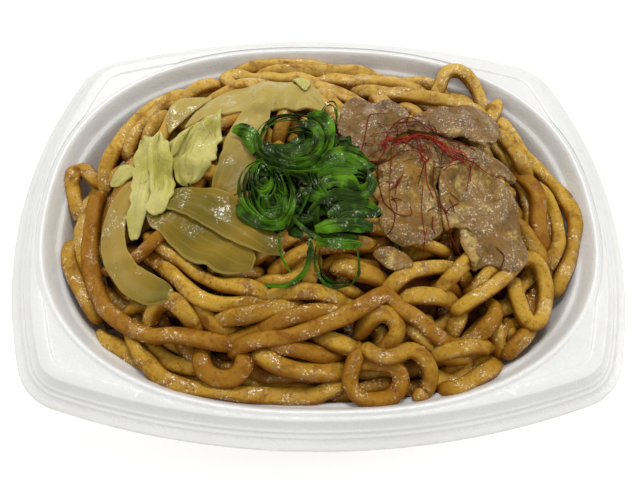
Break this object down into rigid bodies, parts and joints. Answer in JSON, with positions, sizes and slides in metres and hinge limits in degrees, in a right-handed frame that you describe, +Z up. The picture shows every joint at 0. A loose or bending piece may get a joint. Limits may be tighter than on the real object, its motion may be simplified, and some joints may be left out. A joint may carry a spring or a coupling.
{
  "type": "yaki udon in a tray",
  "caption": "Fried thick noodles heaped in a white foam tray, topped with onion, cabbage, meat slices and spring onion.",
  "frame": {"origin": "middle of the tray's underside, on the table", "axes": "+X along the tray's long side, +Y away from the eater, +Z up"},
  "size_m": [0.24, 0.192, 0.0629],
  "materials": {
    "foam": "white foamed plastic with a thin glossy film",
    "noodle": "boiled wheat noodle glazed with brown sauce",
    "onion": "cooked onion, glossy and half clear",
    "cabbage": "cooked cabbage, pale yellow-green",
    "meat": "fried thin-sliced meat with fat, glossy",
    "spring_onion": "fresh cut spring onion, wet"
  },
  "bodies": {
    "root": {"tray": "foam", "noodle_heap": "noodle", "onion_left_crescent": "onion", "onion_back_outer": "onion", "onion_back_long": "onion", "onion_front_lower": "onion", "onion_front_upper": "onion", "onion_pale_middle": "onion", "cabbage_leaf": "cabbage", "cabbage_frill": "cabbage", "cabbage_strip": "cabbage", "cabbage_scrap": "cabbage", "meat_left_back": "meat", "meat_right_back": "meat", "meat_right_middle": "meat", "meat_front_curl": "meat", "meat_left_front": "meat", "meat_right_front": "meat", "spring_onion_heap": "spring_onion"}
  },
  "joints": []
}
